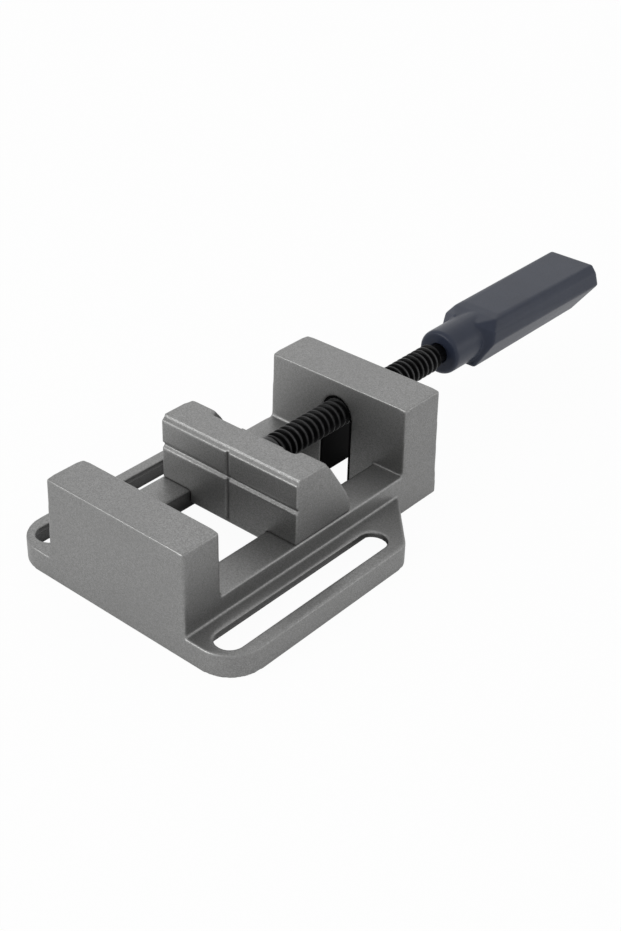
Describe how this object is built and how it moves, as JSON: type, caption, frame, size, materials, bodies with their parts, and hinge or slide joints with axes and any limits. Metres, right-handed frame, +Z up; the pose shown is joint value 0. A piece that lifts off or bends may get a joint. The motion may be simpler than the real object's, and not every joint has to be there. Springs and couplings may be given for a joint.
{
  "type": "drill press vise",
  "caption": "Drill press vise with a slotted cast base, a sliding grooved jaw and a faceted handle; pressing the handle down frees its coarse spindle from a half nut.",
  "frame": {"origin": "midway between the two fixing slots' centres, on the plane of the underside", "axes": "+Z up from the underside; +Y along the spindle from the fixed jaw to the handle; +X across the jaws"},
  "size_m": [0.133, 0.3424, 0.0548],
  "materials": {
    "cast_aluminium": "fine cast surface, satin, metallic speckle",
    "black_steel": "black, semi-gloss, lightly oiled",
    "bare_steel": "bare steel, satin",
    "handle_plastic": "moulded, fine satin grain"
  },
  "bodies": {
    "base": {"base_casting": "cast_aluminium", "half_nut": "black_steel", "half_nut_screws": "black_steel"},
    "jaw": {"moving_jaw": "cast_aluminium", "barrel_cradle": "bare_steel", "keeper_plate": "bare_steel", "keeper_screws": "black_steel", "keeper_washers": "bare_steel", "tilt_spring_left": "bare_steel", "tilt_spring_right": "bare_steel"},
    "swivel": {"swivel_barrel": "bare_steel"},
    "screw": {"spindle": "black_steel", "thrust_washer": "bare_steel", "nose_washer": "bare_steel", "retaining_ring": "black_steel", "handle_anchor_pin": "bare_steel", "handle": "handle_plastic"}
  },
  "joints": [
    {"name": "jaw_slide", "type": "slide", "parent": "base", "child": "jaw", "axis": [0, 1, 0], "range_m": [-0.0458, 0.0371]},
    {"name": "spindle_tilt", "type": "hinge", "parent": "jaw", "child": "swivel", "pos_m": [0, 0.0249, 0.038], "axis": [-1, 0, 0], "range_deg": [0, 4.4], "stiffness_Nm_per_rad": 1.9, "springref_deg": -17.19, "deforming": ["tilt_spring_left", "tilt_spring_right"]},
    {"name": "spindle_spin", "type": "hinge", "parent": "swivel", "child": "screw", "pos_m": [0, 0.0249, 0.038], "axis": [0, 1, 0], "range_deg": [-4409, 3573]}
  ],
  "couplings": [
    {"joint": "spindle_spin", "follows": "jaw_slide", "rad_per_m": 1675.5}
  ]
}
